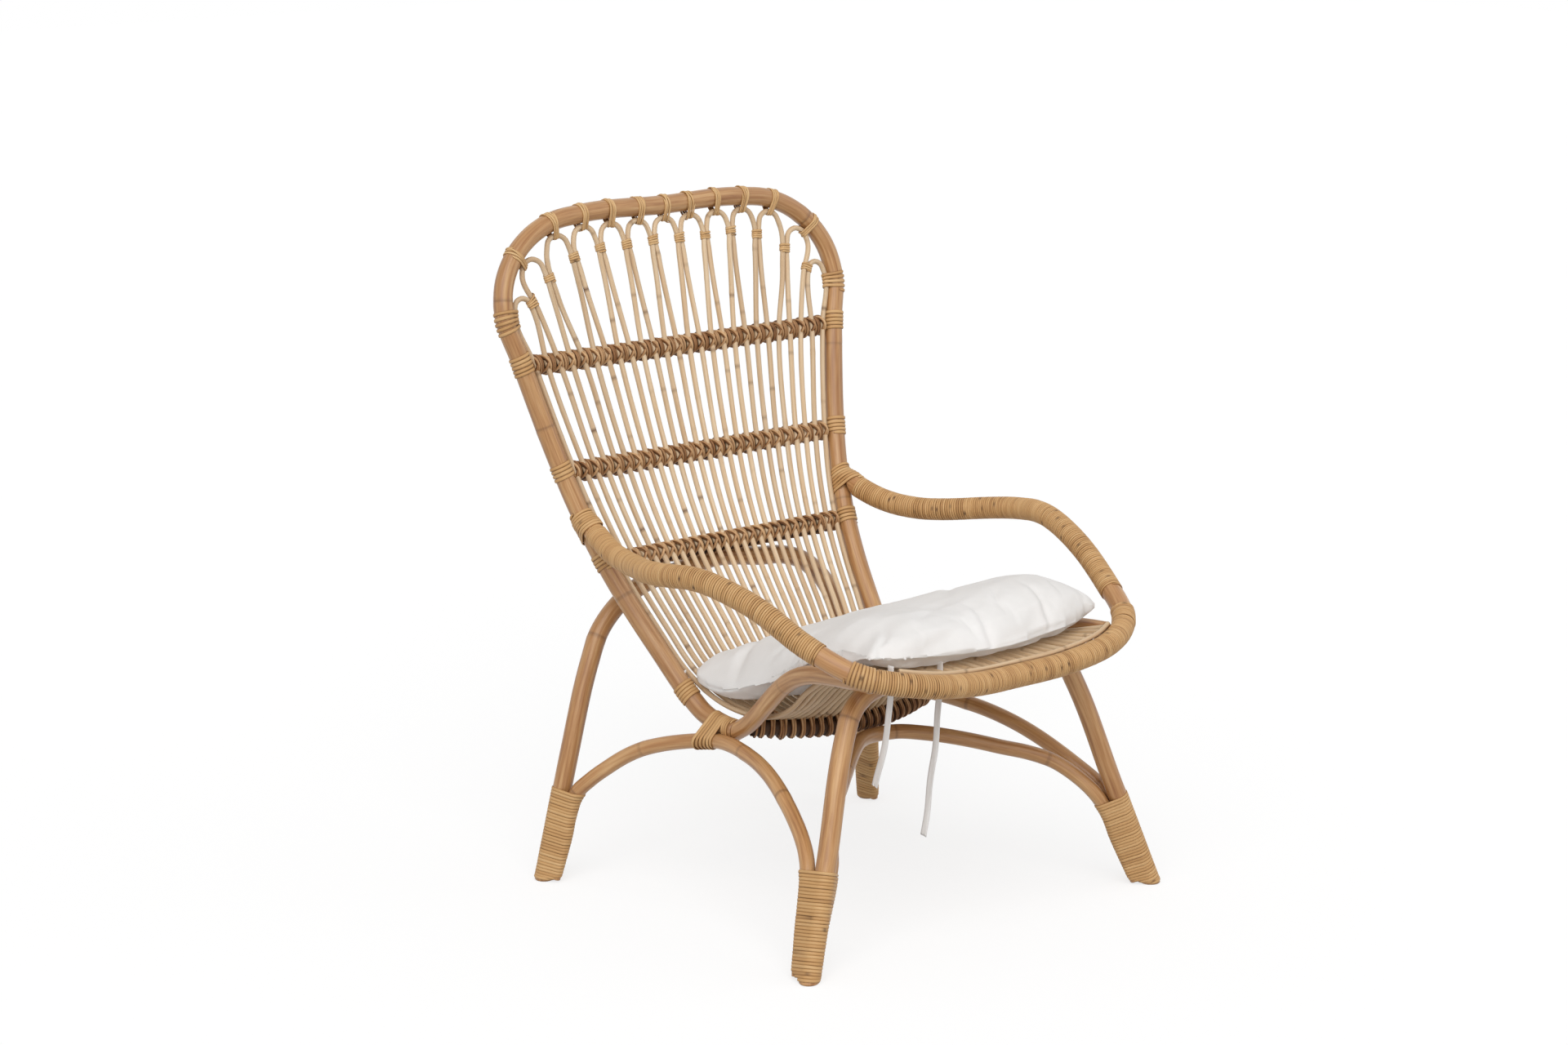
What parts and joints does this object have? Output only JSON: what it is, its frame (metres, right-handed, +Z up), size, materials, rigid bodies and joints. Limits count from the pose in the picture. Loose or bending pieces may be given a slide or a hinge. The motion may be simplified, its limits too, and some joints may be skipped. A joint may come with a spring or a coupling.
{
  "type": "rattan lounge chair",
  "caption": "High-backed lounge chair of bent rattan poles with a rounded fan back of hairpin canes, curved wound arms, arched leg braces and a loose white seat cushion.",
  "frame": {"origin": "middle of the chair's plan at floor level, ties left out", "axes": "+Z up, -Y toward the front of the seat, +X toward the sitter's left; X = 0 is the mirror plane"},
  "size_m": [0.7529, 0.8514, 1.032],
  "materials": {
    "pole": "satin lacquered rattan pole",
    "split_cane": "satin split cane",
    "cane": "matt peeled cane",
    "lashing": "matt brown cane",
    "cushion": "plain white cotton"
  },
  "bodies": {
    "chair": {"back_frame": "pole", "back_bar_upper": "pole", "back_bar_middle": "pole", "back_bar_lower": "pole", "arm_and_front_rail": "pole", "front_leg_hoop": "pole", "rear_leg_hoop": "pole", "seat_rail_left": "pole", "seat_rail_right": "pole", "seat_cross_bar": "pole", "side_arch_left": "pole", "side_arch_right": "pole", "front_arch": "pole", "back_bar_binding_upper_left": "split_cane", "back_bar_binding_upper_right": "split_cane", "back_bar_binding_middle_left": "split_cane", "back_bar_binding_middle_right": "split_cane", "back_bar_binding_lower_left": "split_cane", "back_bar_binding_lower_right": "split_cane", "arm_winding_left": "split_cane", "arm_winding_right": "split_cane", "front_corner_binding_left": "split_cane", "front_corner_binding_right": "split_cane", "arm_joint_binding_left": "split_cane", "arm_joint_binding_right": "split_cane", "front_rail_winding": "split_cane", "foot_winding_front_left": "split_cane", "foot_winding_front_right": "split_cane", "foot_winding_rear_left": "split_cane", "foot_winding_rear_right": "split_cane", "seat_joint_binding_left": "split_cane", "seat_joint_binding_right": "split_cane", "low_back_binding_left": "split_cane", "low_back_binding_right": "split_cane", "shoulder_binding_left": "split_cane", "shoulder_binding_right": "split_cane", "hairpin_cane_01": "cane", "hairpin_cane_02": "cane", "hairpin_cane_03": "cane", "hairpin_cane_04": "cane", "hairpin_cane_05": "cane", "hairpin_cane_06": "cane", "hairpin_cane_07": "cane", "hairpin_cane_08": "cane", "hairpin_cane_09": "cane", "hairpin_cane_10": "cane", "hairpin_cane_11": "cane", "hairpin_cane_12": "cane", "hairpin_cane_13": "cane", "front_edging_cane": "cane", "back_lashing_upper": "lashing", "back_lashing_middle": "lashing", "back_lashing_lower": "lashing", "seat_lashing": "lashing"},
    "cushion": {"cushion": "cushion", "tie_first": "cushion", "tie_second": "cushion"}
  },
  "joints": [
    {"name": "cushion_lift", "type": "slide", "parent": "chair", "child": "cushion", "axis": [0, 0, 1], "range_m": [0, 0.25]}
  ]
}
